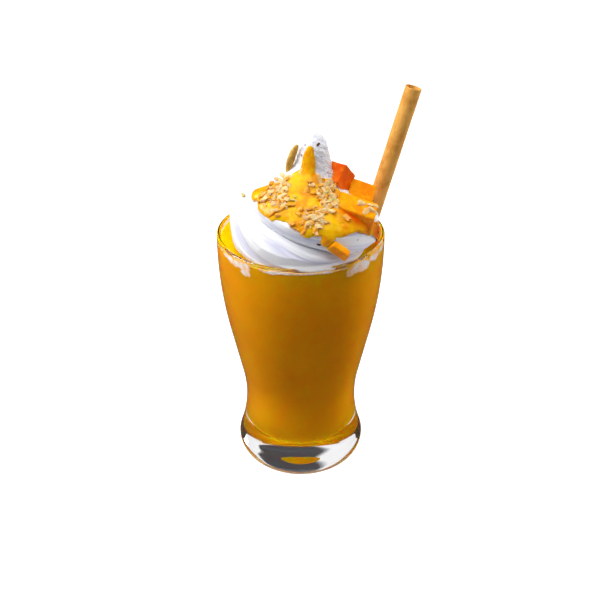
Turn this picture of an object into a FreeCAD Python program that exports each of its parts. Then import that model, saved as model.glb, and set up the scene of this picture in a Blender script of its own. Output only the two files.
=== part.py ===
"""Mango milkshake: a footed tumbler filled with mango drink, topped with a whipped-cream swirl,
cut mango and a nut, and served with a paper straw. Lengths are in millimetres and angles in degrees.

+Z is up and the tumbler's axis is the Z axis. The origin is the centre of the foot, on the table.
An azimuth is measured from +X towards +Y, so the front of the drink, -Y, is at -90.
"""
import FreeCAD, Part
import math
import os

from FreeCAD import Placement, Rotation, Vector

# Tumbler: the outside, from the foot up
TUMBLER_HEIGHT = 131.5
FOOT_RING_INNER = 15.0       # the flat ring that stands on the table starts here
PUSH_UP = 1.2                # hollow under the foot, at its centre
WAIST_RADIUS = 28.4
FOOT_BULGE = 4.2             # how far the heavy foot stands out beyond the waist
FOOT_FILLET = 12.6           # round lower edge of the foot, which is also the height of its widest part
SHOULDER_RADIUS = 10.0       # round upper edge of the foot
WAIST_ARC = 70.0             # curvature of the waist, seen from the side
FLANK_ANGLE = 12.5           # slope of the straight stretch above the waist, less where the belly is narrow
BELLY_RADIUS = 41.05         # widest part, just below the rim
BELLY_ARC = 219.0

# Tumbler: the inside
WALL = 2.0
FLOOR_HEIGHT = 16.5          # thickness of the solid glass bottom
FLOOR_CORNER = 17.0          # round corner between the floor and the wall

# Drink
DRINK_BELOW_RIM = 3.0        # free wall between the drink and the top of the rim

# Straw: a square-cut paper tube that stands on the floor and leans on the rim
STRAW_LENGTH = 189.3
STRAW_RADIUS = 4.0
STRAW_WALL = 0.45
STRAW_AZIMUTH = 14.5         # direction in which it leans
STRAW_FOOT_OFFSET = 2.0      # from the tumbler's axis to the middle of the straw's lower end
SEAT_CLEARANCE = 0.1         # between the straw and the rim that it leans on

# Cream, mango and nut are laid out across a tumbler of this inside radius, and spread with a wider one
LAID_OUT_FOR_RADIUS = 39.05

# Whipped cream: one thick coil that rises clockwise to a pulled peak
CREAM_CENTRE = (1.8, -1.2)
CREAM_SIDE = (               # the swirl's side without its seam: (radius, height above the drink)
    (22.0, -6.0), (31.0, -3.5), (36.0, 2.0), (36.8, 8.0), (35.3, 15.5), (30.5, 22.6),
    (22.0, 27.6), (13.6, 32.6), (9.0, 39.0), (7.5, 45.0), (5.3, 51.0), (0.6, 55.2),
)
CREAM_FULLER_TOWARDS = -80.0  # the coil is laid thicker on this side, where it meets the glass
CREAM_FULLER = 0.08
CREAM_DENT_TOWARDS = -144.0   # its foot draws back from the glass here
CREAM_DENT = 3.5
CREAM_DENT_SPREAD = 14.0
CREAM_DENT_HEIGHTS = (4.0, 16.0)
CREAM_LOWER_TOWARDS = -5.0    # its shoulder is lower on this side, and higher on the other
CREAM_LOWER = 4.2
CREAM_LOWER_HEIGHTS = (0.0, 14.0, 26.0, 46.0)  # from none to full, and from full to none again
PEAK_SHIFT = 4.0              # the peak stands off the swirl's middle, towards +X
PEAK_SHIFT_HEIGHTS = (14.0, 40.0)
SEAM_AZIMUTH = -69.0          # where the seam between two turns of the coil is at SEAM_HEIGHT
SEAM_HEIGHT = 9.0
SEAM_RATE = 2.46              # degrees of turn for the first millimetre above or below that height
SEAM_POWER = 1.4
SEAM_DEPTH = 0.2              # depth of the seam, as a share of the coil's distance from the middle
SEAM_BELOW = 5.5              # the seam widens over this height into the turn below it
SEAM_ABOVE = 3.0              # and over this height into the turn above it
COLUMNS = 72                  # surface points round the swirl
ROWS = 60                     # and up its side

# Cut mango: (name, size, turn about X then Y then Z, centre above the drink)
MANGO_ROUNDING = 0.8
MANGO_TAPER = 0.88
MANGO_PIECES = (
    ("mango_cube_top", (8.2, 10.0, 11.0), (42.0, 2.0, -19.0), (18.1, -1.5, 31.4)),
    ("mango_cube_back", (13.5, 10.0, 9.0), (32.0, 18.0, -4.0), (28.3, 1.5, 21.8)),
    ("mango_cube_front", (17.5, 12.0, 8.0), (26.0, 17.5, -8.0), (27.7, -14.5, 20.0)),
    ("mango_chip", (11.0, 4.6, 4.4), (22.0, 38.0, 2.0), (17.5, -35.2, 10.3)),
)

# Nut sliver that leans on the peak
NUT_LENGTH = 15.0
NUT_WIDTH = 3.6
NUT_THICKNESS = 2.6
NUT_ROUNDING = 1.0
NUT_LEAN = 18.0
NUT_CENTRE = (-3.9, -4.8, 42.6)


def arc(centre, radius, start, end):
    """Arc in the XZ plane about centre (x, z), from one angle to another, measured from +X towards +Z."""
    def at(angle):
        turn = math.radians(angle)
        return Vector(centre[0] + radius * math.cos(turn), 0, centre[1] + radius * math.sin(turn))
    return Part.Arc(at(start), at((start + end) / 2), at(end)).toShape()


def chain(edges):
    """One wire through edges that follow each other, with straight lines across their gaps."""
    joined = [edges[0]]
    for edge in edges[1:]:
        last, first = joined[-1].lastVertex(True).Point, edge.firstVertex(True).Point
        if last.distanceToPoint(first) > 1e-6:
            joined.append(Part.makeLine(last, first))
        joined.append(edge)
    return Part.Wire(joined)


def revolved(wire):
    """Solid of revolution about the Z axis of a wire in the XZ plane that closes along that axis."""
    points = [wire.OrderedVertexes[-1].Point, wire.OrderedVertexes[0].Point]
    closed = Part.Wire(wire.Edges + [Part.makeLine(points[0], points[1])])
    return Part.Face(closed).revolve(Vector(0, 0, 0), Vector(0, 0, 1), 360)


def side_curve():
    """Centres and joints of the arcs that make the tumbler's side, worked out from the driving sizes."""
    foot = WAIST_RADIUS + FOOT_BULGE
    shoulder = (foot - SHOULDER_RADIUS, FOOT_FILLET)
    waist_x = WAIST_RADIUS + WAIST_ARC
    rise = math.sqrt((SHOULDER_RADIUS + WAIST_ARC) ** 2 - (waist_x - shoulder[0]) ** 2)
    waist = (waist_x, shoulder[1] + rise)
    arcs, flare = WAIST_ARC + BELLY_ARC, BELLY_RADIUS - WAIST_RADIUS
    slope = min(math.radians(FLANK_ANGLE), math.acos(1 - flare / arcs))
    flank = (flare - arcs * (1 - math.cos(slope))) / math.sin(slope)
    belly_z = waist[1] + arcs * math.sin(slope) + flank * math.cos(slope)
    return {
        "foot": foot,
        "slope": math.degrees(slope),
        "shoulder": shoulder,
        "shoulder_end": math.degrees(math.atan2(rise, waist_x - shoulder[0])),
        "waist": waist,
        "belly": (BELLY_RADIUS - BELLY_ARC, belly_z),
    }


def height_angle(centre, radius, height):
    """Angle at which an arc about centre reaches that height."""
    return math.degrees(math.asin((height - centre[1]) / radius))


def outside_edges(side, top):
    """The tumbler's outside from the foot ring to the height top."""
    return [
        arc((side["foot"] - FOOT_FILLET, FOOT_FILLET), FOOT_FILLET, -90, 0),
        arc(side["shoulder"], SHOULDER_RADIUS, 0, side["shoulder_end"]),
        arc(side["waist"], WAIST_ARC, 180 + side["shoulder_end"], 180 - side["slope"]),
        arc(side["belly"], BELLY_ARC, -side["slope"], height_angle(side["belly"], BELLY_ARC, top)),
    ]


def inside_edges(side, top):
    """The tumbler's inside from the middle of the floor to the height top, one wall inside the outside."""
    radius = WAIST_RADIUS - WALL
    floor_arc = (radius - FLOOR_CORNER, FLOOR_HEIGHT + FLOOR_CORNER)
    belly = BELLY_ARC - WALL
    return [
        Part.makeLine(Vector(0, 0, FLOOR_HEIGHT), Vector(floor_arc[0], 0, FLOOR_HEIGHT)),
        arc(floor_arc, FLOOR_CORNER, -90, 0),
        arc(side["waist"], WAIST_ARC + WALL, 180, 180 - side["slope"]),
        arc(side["belly"], belly, -side["slope"], height_angle(side["belly"], belly, top)),
    ]


def radius_inside(side, height):
    """Radius of the tumbler's inside near the rim."""
    return side["belly"][0] + math.sqrt((BELLY_ARC - WALL) ** 2 - (height - side["belly"][1]) ** 2)


def tumbler(side):
    """The glass: a heavy rounded foot with a hollow under it, a waist, a flared belly and a round rim."""
    rim = TUMBLER_HEIGHT - WALL / 2
    outside = outside_edges(side, rim)
    inside = inside_edges(side, rim)
    outer = outside[-1].lastVertex(True).Point
    inner = inside[-1].lastVertex(True).Point
    lip = Part.Arc(outer, Vector((outer.x + inner.x) / 2, 0, TUMBLER_HEIGHT), inner).toShape()
    dome = (FOOT_RING_INNER ** 2 + PUSH_UP ** 2) / (2 * PUSH_UP)
    hollow = arc((0, PUSH_UP - dome), dome, 90, math.degrees(math.acos(FOOT_RING_INNER / dome)))
    inside_down = [edge.reversed() for edge in reversed(inside)]
    return revolved(chain([hollow] + outside + [lip] + inside_down))


def fill(side, top):
    """What the tumbler holds up to the height top, which may lie above the rim."""
    rim = TUMBLER_HEIGHT - WALL / 2
    edges = inside_edges(side, min(top, rim))
    end = edges[-1].lastVertex(True).Point
    if top > rim:
        edges.append(Part.makeLine(end, Vector(end.x, 0, top)))
        end = edges[-1].lastVertex(True).Point
    edges.append(Part.makeLine(end, Vector(0, 0, end.z)))
    return revolved(chain(edges))


def spread():
    """How much wider than laid out the cream and its toppings lie."""
    return (BELLY_RADIUS - WALL) / LAID_OUT_FOR_RADIUS


def straw_axis(side):
    """Middle of the straw's lower end and its direction, for a straw that rests on floor and rim."""
    rim = TUMBLER_HEIGHT - WALL / 2
    reach = STRAW_RADIUS + SEAT_CLEARANCE + WALL / 2
    seat = (radius_inside(side, rim) + WALL / 2, rim)
    low, high = 0.0, math.radians(45)
    for _ in range(60):
        lean = (low + high) / 2
        foot_z = FLOOR_HEIGHT + STRAW_RADIUS * math.sin(lean)
        away = (seat[0] - STRAW_FOOT_OFFSET) * math.cos(lean) - (seat[1] - foot_z) * math.sin(lean)
        low, high = (lean, high) if away > reach else (low, lean)
    turn = math.radians(STRAW_AZIMUTH)
    radial = Vector(math.cos(turn), math.sin(turn), 0)
    foot = radial * STRAW_FOOT_OFFSET + Vector(0, 0, foot_z)
    return foot, radial * math.sin(lean) + Vector(0, 0, math.cos(lean))


def straw(side):
    """The paper tube, and the full cylinder that it takes up."""
    foot, direction = straw_axis(side)
    outer = Part.makeCylinder(STRAW_RADIUS, STRAW_LENGTH, foot, direction)
    bore = Part.makeCylinder(STRAW_RADIUS - STRAW_WALL, STRAW_LENGTH, foot, direction)
    return outer.cut(bore), outer


def seam_heights(azimuth):
    """Heights above the drink at which the coil's seam passes that azimuth, one for each turn."""
    turns = [SEAM_AZIMUTH - azimuth + 360 * turn for turn in (-1, 0, 1)]
    return [SEAM_HEIGHT + math.copysign((abs(t) / SEAM_RATE) ** (1 / SEAM_POWER), t) for t in turns]


def seam_share(azimuth, height):
    """1 in the coil's seam and less above and below it."""
    gaps = [height - seam for seam in seam_heights(azimuth)]
    return max(math.exp(-gap / SEAM_ABOVE if gap > 0 else gap / SEAM_BELOW) for gap in gaps)


def smooth_step(value, start, end):
    """0 before start, 1 after end, and a smooth rise between them."""
    share = min(1.0, max(0.0, (value - start) / (end - start)))
    return share * share * (3 - 2 * share)


def bell(angle, spread):
    """1 at the angle 0 and less on both sides of it, all round the circle."""
    away = (angle + 180) % 360 - 180
    return math.exp(-(away / spread) ** 2 / 2)


def cream_poles():
    """Rows of surface points of the swirl, from its sunken underside to the tip of its peak."""
    side = Part.BSplineCurve()
    side.interpolate([Vector(r, 0, h) for r, h in CREAM_SIDE])
    fuller, lower = math.radians(CREAM_FULLER_TOWARDS), math.radians(CREAM_LOWER_TOWARDS)
    tip = CREAM_SIDE[-1][1]
    rows = []
    for step in side.discretize(Number=ROWS):
        tangent = Vector(*side.tangent(side.parameter(step))[0])
        outward = Vector(tangent.z, 0, -tangent.x)
        shift = PEAK_SHIFT * smooth_step(step.z, *PEAK_SHIFT_HEIGHTS)
        fuller_here = CREAM_FULLER * (1 - smooth_step(step.z, 0, tip))
        starts, full, fades, ends = CREAM_LOWER_HEIGHTS
        lower_here = CREAM_LOWER * smooth_step(step.z, starts, full)
        lower_here *= 1 - smooth_step(step.z, fades, ends)
        dent_here = CREAM_DENT * (1 - smooth_step(step.z, *CREAM_DENT_HEIGHTS))
        row = []
        for column in range(COLUMNS):
            turn = 2 * math.pi * column / COLUMNS
            depth = SEAM_DEPTH * step.x * seam_share(math.degrees(turn), step.z)
            depth += dent_here * bell(math.degrees(turn) - CREAM_DENT_TOWARDS, CREAM_DENT_SPREAD)
            radius = (step.x - outward.x * depth) * (1 + fuller_here * math.cos(turn - fuller))
            height = step.z - outward.z * depth - lower_here * math.cos(turn - lower)
            row.append(Vector(
                CREAM_CENTRE[0] + shift + radius * math.cos(turn),
                CREAM_CENTRE[1] + radius * math.sin(turn),
                height,
            ))
        rows.append(row)
    for end in (0, -1):
        level = sum(p.z for p in rows[end]) / COLUMNS
        rows[end] = [Vector(p.x, p.y, level) for p in rows[end]]
    return rows


def placed(centre, level):
    """Centre of a topping, given above the drink, for this tumbler's width and drink level."""
    return Vector(centre[0] * spread(), centre[1] * spread(), level + centre[2])


def swirl(level):
    """Closed solid of the whipped cream, standing in the drink at that level."""
    rows = cream_poles()
    columns = [[placed(row[i], level) for row in rows] for i in range(COLUMNS)]
    spans = ROWS - 3
    surface = Part.BSplineSurface()
    surface.buildFromPolesMultsKnots(
        columns, [1] * (COLUMNS + 1), [4] + [1] * (spans - 1) + [4],
        list(range(COLUMNS + 1)), list(range(spans + 1)), True, False, 3, 3,
    )
    skin = surface.toShape()
    rims = [edge for edge in skin.Edges if edge.isClosed()]
    caps = [Part.Face(Part.Wire([edge])) for edge in rims]
    shell = Part.makeShell([skin] + caps)
    shell.sewShape()
    return Part.makeSolid(shell)


def mango_piece(size, turns, centre, level):
    """A cut chunk of mango with rounded edges, a little narrower at one end."""
    x, y, z = (value / 2 for value in size)
    ends = []
    for height, share in ((-z, 1.0), (z, MANGO_TAPER)):
        corners = [Vector(sx * x * share, sy * y * share, height)
                   for sx, sy in ((-1, -1), (1, -1), (1, 1), (-1, 1), (-1, -1))]
        ends.append(Part.makePolygon(corners))
    chunk = Part.makeLoft(ends, True, True)
    chunk = chunk.makeFillet(MANGO_ROUNDING, chunk.Edges)
    turn = Rotation(Vector(0, 0, 1), turns[2]) * Rotation(Vector(0, 1, 0), turns[1]) \
        * Rotation(Vector(1, 0, 0), turns[0])
    chunk.Placement = Placement(placed(centre, level), turn)
    return chunk


def nut_sliver(level):
    """A flat sliver of nut with round ends and edges."""
    half, radius = NUT_LENGTH / 2 - NUT_WIDTH / 2, NUT_WIDTH / 2
    sides = [Part.makeLine(Vector(side * half, -side * radius, 0), Vector(-side * half, -side * radius, 0))
             for side in (1, -1)]
    ends = [Part.Arc(Vector(side * half, radius, 0), Vector(side * (half + radius), 0, 0),
                     Vector(side * half, -radius, 0)).toShape() for side in (1, -1)]
    outline = Part.Wire(Part.__sortEdges__(sides + ends))
    sliver = Part.Face(outline).extrude(Vector(0, 0, NUT_THICKNESS))
    sliver.translate(Vector(0, 0, -NUT_THICKNESS / 2))
    flat = [edge for edge in sliver.Edges if abs(edge.BoundBox.ZLength) < 1e-6]
    sliver = sliver.makeFillet(min(NUT_ROUNDING, 0.4 * NUT_THICKNESS, 0.4 * NUT_WIDTH), flat)
    upright = Rotation(Vector(1, 0, 0), 90) * Rotation(Vector(0, 0, 1), 90 - NUT_LEAN)
    sliver.Placement = Placement(placed(NUT_CENTRE, level), upright)
    return sliver


def build():
    """Every node of the model, by name."""
    side = side_curve()
    level = TUMBLER_HEIGHT - DRINK_BELOW_RIM
    tube, tube_space = straw(side)
    nut = nut_sliver(level)
    mango = {}
    for name, size, turns, centre in MANGO_PIECES:
        piece = mango_piece(size, turns, centre, level)
        for earlier in [tube_space, nut] + list(mango.values()):
            piece = piece.cut(earlier)
        mango[name] = piece
    above_the_peak = level + 2 * CREAM_SIDE[-1][1]
    cream = swirl(level).common(fill(side, above_the_peak))
    for other in [tube_space, nut] + list(mango.values()):
        cream = cream.cut(other)
    drink = fill(side, level).cut(tube).cut(cream)
    for piece in mango.values():
        drink = drink.cut(piece)
    nodes = {"glass": tumbler(side), "milkshake": drink, "whipped_cream": cream}
    nodes.update({"straw": tube, "nut_sliver": nut})
    nodes.update(mango)
    return nodes


os.makedirs("parts", exist_ok=True)
for node, shape in build().items():
    shape.exportStep(f"parts/{node}.step")
    box = shape.BoundBox
    print(f"{node}: {len(shape.Solids)} solid, {len(shape.Faces)} faces, valid {shape.isValid()}, "
          f"volume {shape.Volume:.1f}, z {box.ZMin:.2f} to {box.ZMax:.2f}")
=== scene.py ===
"""Looks of a mango milkshake: a footed tumbler of mango drink under a swirl of whipped cream with mango
sauce, chopped nuts, cut mango and a paper straw. Sizes are in metres and angles in degrees, unless a name
says otherwise. +Z is up, and an azimuth is measured from +X towards +Y.
"""

import math
import random

import bpy
import numpy as np
from bpy.props import FloatProperty, FloatVectorProperty, IntProperty, PointerProperty
from mathutils import Euler, Matrix, Vector, noise


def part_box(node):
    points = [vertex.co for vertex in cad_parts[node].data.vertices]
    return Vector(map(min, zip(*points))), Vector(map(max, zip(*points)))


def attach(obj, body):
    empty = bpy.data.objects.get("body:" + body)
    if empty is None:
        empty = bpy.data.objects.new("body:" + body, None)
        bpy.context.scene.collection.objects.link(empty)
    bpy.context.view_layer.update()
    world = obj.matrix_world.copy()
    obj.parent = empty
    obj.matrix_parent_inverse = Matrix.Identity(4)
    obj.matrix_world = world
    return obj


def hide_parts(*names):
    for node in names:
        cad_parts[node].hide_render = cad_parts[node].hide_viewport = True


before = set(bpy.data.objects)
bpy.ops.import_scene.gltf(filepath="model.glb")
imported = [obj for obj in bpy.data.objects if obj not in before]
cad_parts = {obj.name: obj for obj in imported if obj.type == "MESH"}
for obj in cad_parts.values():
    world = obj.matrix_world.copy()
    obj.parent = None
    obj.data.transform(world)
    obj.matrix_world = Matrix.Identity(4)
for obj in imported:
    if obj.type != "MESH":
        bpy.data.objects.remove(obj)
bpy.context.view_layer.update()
GLASS_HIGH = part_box("glass")[1]
DRINK_LOW, DRINK_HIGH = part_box("milkshake")
BODY = "root"
MM = 0.001

bl_info = {
    "name": "Mango milkshake",
    "version": (1, 0, 0),
    "blender": (4, 5, 0),
    "location": "View3D > Sidebar > Milkshake",
    "description": "Builds a mango milkshake with whipped cream, mango, nuts and a straw in a footed tumbler",
    "category": "Object",
}


# ---- sizes and colours

def linear(rgb):
    """A display colour of 0 to 255 as the linear colour, with full alpha, that Blender works with."""
    shares = [value / 255 for value in rgb]
    return tuple(v / 12.92 if v <= 0.04045 else ((v + 0.055) / 1.055) ** 2.4 for v in shares) + (1.0,)


def setting(kind, convert=float, **fixed):
    """A function that makes settings of one kind for the user to change."""
    def make(name, value, description):
        return kind(name=name, description=description, default=convert(value), **fixed)
    return make


length = setting(FloatProperty, min=0.0, unit="LENGTH", precision=5)
angle = setting(FloatProperty, math.radians, unit="ROTATION")
share = setting(FloatProperty)
count = setting(IntProperty, int, min=0)
colour = setting(FloatVectorProperty, linear, size=4, subtype="COLOR", min=0.0, max=1.0)


class TumblerSettings(bpy.types.PropertyGroup):
    height: length("Height", GLASS_HIGH.z, "Height of the tumbler")
    belly_radius: length("Belly radius", GLASS_HIGH.x, "Widest part, just below the rim")
    belly_arc: length("Belly arc", 0.219, "Curvature of the belly, seen from the side")
    waist_radius: length("Waist radius", 0.0284, "Narrowest part above the foot")
    waist_arc: length("Waist arc", 0.070, "Curvature of the waist, seen from the side")
    flank: angle("Flank", 12.5, "Slope of the straight stretch between waist and belly")
    foot_radius: length("Foot radius", 0.0326, "Widest part of the heavy foot")
    foot_fillet: length("Foot round", 0.0126, "Round lower edge of the foot")
    foot_ring: length("Foot ring", 0.015, "Inner radius of the flat ring that stands on the table")
    shoulder: length("Shoulder", 0.010, "Round upper edge of the foot")
    push_up: length("Push-up", 0.0012, "Hollow under the foot, at its centre")
    wall: length("Wall", 0.002, "Thickness of the glass wall")
    floor_height: length("Floor", DRINK_LOW.z, "Thickness of the solid glass bottom")
    floor_corner: length("Floor corner", 0.017, "Round corner between the floor and the wall")
    tint: colour("Tint", (252, 253, 255), "Colour of the glass")
    segments: count("Segments", 400, "Faces round the tumbler")


class DrinkSettings(bpy.types.PropertyGroup):
    level: length("Level", DRINK_HIGH.z, "Height of the drink's surface above the table")
    into_wall: length("Into wall", 0.0003, "How far the drink reaches into the glass, so that no gap shows")
    film: length("Film", 0.0004, "How far the drink clings to the wall above its surface")
    body: colour("Drink", (233, 168, 0), "Main colour of the drink")
    deep: colour("Deep drink", (223, 146, 0), "Colour of its denser clouds")
    froth: colour("Froth", (246, 176, 8), "Colour of the froth on its surface")


class CreamSettings(bpy.types.PropertyGroup):
    columns: count("Columns", 330, "Points round the swirl")
    rows: count("Rows", 285, "Points up its side")
    ridge: length("Ridges", 0.00055, "Height of the broad ridges that the nozzle leaves")
    streak: length("Streaks", 0.00026, "Height of the fine streaks along the flow")
    lump: length("Lumps", 0.00055, "Height of the soft unevenness")
    rough: length("Torn peak", 0.00046, "Roughness of the torn side of the peak")
    white: colour("Cream", (247, 248, 250), "Colour of the cream")
    shade: colour("Cream's clouds", (239, 239, 247), "Colour of its cooler clouds")
    # Painted shade: the cooler tone that the cream is drawn to in its seam and in the troughs of its ridges
    # and streaks, where shadow falls.
    fold_shade_tone: colour("Cream in folds", (214, 214, 236), "Colour of the cream in its folds and streaks")
    smear: length("Smears", 0.0003, "Thickness of the cream smeared on the wall")
    specks: count("Specks", 40, "Specks of spice on the cream")


class SauceSettings(bpy.types.PropertyGroup):
    thickness: length("Thickness", 0.0009, "How thick the sauce lies on the cream")
    body: colour("Sauce", (255, 196, 0), "Colour of the mango sauce")
    deep: colour("Thick sauce", (236, 126, 0), "Colour of the sauce where it is thicker")


class ToppingSettings(bpy.types.PropertyGroup):
    seed: count("Seed", 11, "Another number lays the nuts another way")
    slivers: count("Nut slivers", 44, "Chopped nut slivers on the sauce")
    coated: count("Coated nuts", 66, "Nut pieces that the sauce covers")
    crumbs: count("Nut crumbs", 120, "Nut crumbs on the sauce")
    nut_pale: colour("Nut", (246, 218, 164), "Colour of the chopped nuts")
    nut_rose: colour("Nut skin side", (220, 160, 98), "Colour of the nuts' outer side")
    glazed: colour("Coated nut", (246, 164, 34), "Colour of the nuts under the sauce")
    pistachio: colour("Pistachio", (190, 190, 90), "Colour of the green nuts")
    mango: colour("Mango", (250, 112, 0), "Colour of the riper pieces of mango")
    mango_deep: colour("Ripe mango", (228, 72, 0), "Colour of their deepest orange")
    mango_light: colour("Light mango", (255, 164, 0), "Colour of the paler pieces of mango")
    kernel: colour("Nut sliver", (226, 184, 88), "Colour of the sliver that leans on the peak")
    kernel_dark: colour("Nut sliver's skin", (168, 130, 34), "Colour of its darker streaks")


class StrawSettings(bpy.types.PropertyGroup):
    tube_length: length("Length", 0.1893, "Length of the straw")
    radius: length("Radius", 0.004, "Outer radius of the straw")
    wall: length("Wall", 0.00045, "Thickness of the paper")
    azimuth: angle("Direction", 14.5, "Direction in which the straw leans")
    foot_offset: length("Foot offset", 0.002, "From the tumbler's axis to the middle of its lower end")
    seat_clearance: length("Seat clearance", 0.0001, "Between the straw and the rim")
    turn_height: length("Winding", 0.031, "Height of one turn of the wound paper strip")
    paper: colour("Paper", (236, 176, 86), "Colour of the paper")
    paper_dark: colour("Dark paper", (194, 124, 38), "Colour of its darker fibres")


class StudioSettings(bpy.types.PropertyGroup):
    distance: length("Camera distance", 0.570, "From the camera to the point that it looks at")
    elevation: angle("Camera elevation", 30.0, "Height of the camera above the horizon")
    aim_height: length("Aim height", 0.0922, "Height of the point that the camera looks at")
    side_step: length("Side step", 0.00035, "How far the camera and its aim stand left of the tumbler's axis")
    focal: share("Focal length in mm", 67.62, "Focal length on a sensor of 36 mm")
    key: share("Key lamp", 3.8, "Power of the lamp on the left, in watts")
    rim: share("Rim lamp", 3.4, "Power of the lamp on the right, in watts")
    top: share("Top lamp", 3.8, "Power of the lamp overhead, in watts")
    sky: share("Sky", 0.22, "Strength of the even light from all round")


class MilkshakeSettings(bpy.types.PropertyGroup):
    tumbler: PointerProperty(name="Tumbler", type=TumblerSettings)
    drink: PointerProperty(name="Drink", type=DrinkSettings)
    cream: PointerProperty(name="Cream", type=CreamSettings)
    sauce: PointerProperty(name="Sauce", type=SauceSettings)
    topping: PointerProperty(name="Toppings", type=ToppingSettings)
    straw: PointerProperty(name="Straw", type=StrawSettings)
    studio: PointerProperty(name="Studio", type=StudioSettings)


# ---- meshes

def placed(name, data):
    """A new object of that name in the scene, in place of an earlier one."""
    if name in bpy.data.objects:
        bpy.data.objects.remove(bpy.data.objects[name])
    made = bpy.data.objects.new(name, data)
    bpy.context.scene.collection.objects.link(made)
    return made


def mesh_of(name, points, faces, material):
    """A mesh of one material."""
    mesh = bpy.data.meshes.new(name)
    mesh.from_pydata([tuple(p) for p in points], [], faces)
    mesh.materials.append(material)
    return mesh


def add_piece(name, points, faces, material, replaces=(), smooth=True):
    """Add a mesh piece that rides on the body."""
    mesh = mesh_of(name, points, faces, material)
    mesh.validate()
    mesh.update()
    mesh.polygons.foreach_set("use_smooth", [smooth] * len(mesh.polygons))
    piece = placed(name, mesh)
    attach(piece, BODY)
    if replaces:
        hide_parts(*replaces)
    return piece


def mark(piece, name, values):
    """Give each point of a piece a value that its material reads."""
    made = piece.data.attributes.new(name, "FLOAT", "POINT")
    made.data.foreach_set("value", np.asarray(values, np.float32))


def arc_points(centre, radius, start, end, step=0.0013):
    """Points on an arc in the XZ plane, about step apart."""
    steps = max(3, math.ceil(abs(math.radians(end - start)) * radius / step))
    turns = np.radians(np.linspace(start, end, steps + 1))
    return [(centre[0] + radius * math.cos(t), centre[1] + radius * math.sin(t)) for t in turns]


def polar(radius, turn, height=0.0):
    """The point at that radius, turn in radians and height."""
    return Vector((radius * math.cos(turn), radius * math.sin(turn), height))


def add_ring(points, number, place):
    """Add a ring of points, each laid by place(turn), and return their numbers."""
    points += [place(2 * math.pi * k / number) for k in range(number)]
    return list(range(len(points) - number, len(points)))


def lathe(profile, segments):
    """Points and rings of a surface of revolution of (radius, height) pairs. A radius of 0 makes a pole."""
    points, rings = [], []
    for radius, height in profile:
        number = segments if radius > 1e-7 else 1
        rings.append(add_ring(points, number, lambda turn: polar(radius, turn, height)))
    return points, rings


def ring_faces(rings):
    """Faces between rings of point numbers that follow each other. A ring of one point is a pole."""
    faces = []
    for lower, upper in zip(rings, rings[1:]):
        size = max(len(lower), len(upper))
        for k in range(size):
            after = (k + 1) % size
            if len(lower) == 1:
                faces.append((lower[0], upper[after], upper[k]))
            elif len(upper) == 1:
                faces.append((lower[k], lower[after], upper[0]))
            else:
                faces.append((lower[k], lower[after], upper[after], upper[k]))
    return faces


def grid_rings(grid):
    """Point numbers of a grid's rows, which close into rings."""
    rows, columns = grid.shape[:2]
    return np.arange(rows * columns).reshape(rows, columns).tolist()


def kept_part(grid, wanted, closed=True):
    """Points and faces of the wanted part of a grid, and the numbers that its points have in the grid."""
    wanted = wanted.ravel()
    faces = [f for f in ring_faces(grid_rings(grid))
             if all(wanted[k] for k in f) and (closed or f[1] - f[0] == 1)]
    used = sorted({k for f in faces for k in f})
    number = {old: new for new, old in enumerate(used)}
    return grid.reshape(-1, 3)[used].tolist(), [tuple(number[k] for k in f) for f in faces], used


def grid_normals(grid):
    """Outward normals of a grid of points that closes round its columns."""
    across = np.roll(grid, -1, axis=1) - np.roll(grid, 1, axis=1)
    along = np.gradient(grid, axis=0)
    normals = np.cross(across, along)
    size = np.linalg.norm(normals, axis=2, keepdims=True)
    return normals / np.maximum(size, 1e-12)


def grid_noise(grid, size, offset=0.0):
    """Smooth noise of about -1 to 1 at each point of a grid, with lumps of that size."""
    shift = Vector((offset, 0.7 * offset, 1.3 * offset))
    flat = grid.reshape(-1, 3) / size
    values = [noise.noise(Vector(p) + shift) for p in flat.tolist()]
    return np.array(values).reshape(grid.shape[:-1])


def smooth_step(value, start, end):
    """0 before start, 1 after end, and a smooth rise between them."""
    part = np.clip((value - start) / (end - start), 0.0, 1.0)
    return part * part * (3 - 2 * part)


def even_curve(points, number):
    """Evenly spaced points on a smooth curve through the given points, and the curve's directions there."""
    points = np.array(points, float)
    at = np.concatenate([[0.0], np.cumsum(np.linalg.norm(np.diff(points, axis=0), axis=1))])
    gaps = np.diff(at)
    size = len(points)
    system, right = np.eye(size), np.zeros((size, 2))
    for k in range(1, size - 1):
        system[k, k - 1:k + 2] = gaps[k - 1], 2 * (gaps[k - 1] + gaps[k]), gaps[k]
        right[k] = 6 * ((points[k + 1] - points[k]) / gaps[k] - (points[k] - points[k - 1]) / gaps[k - 1])
    bends = np.linalg.solve(system, right)
    fine = np.linspace(0, at[-1], 4000)
    k = np.clip(np.searchsorted(at, fine, side="right") - 1, 0, size - 2)
    b = ((fine - at[k]) / gaps[k])[:, None]
    a = 1 - b
    curve = a * points[k] + b * points[k + 1] \
        + ((a ** 3 - a) * bends[k] + (b ** 3 - b) * bends[k + 1]) * gaps[k][:, None] ** 2 / 6
    run = np.concatenate([[0.0], np.cumsum(np.linalg.norm(np.diff(curve, axis=0), axis=1))])
    even = np.linspace(0, run[-1], number)
    places = np.stack([np.interp(even, run, curve[:, i]) for i in (0, 1)], axis=1)
    directions = np.gradient(places, axis=0)
    return places, directions / np.linalg.norm(directions, axis=1, keepdims=True)


# ---- tumbler's shape

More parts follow.
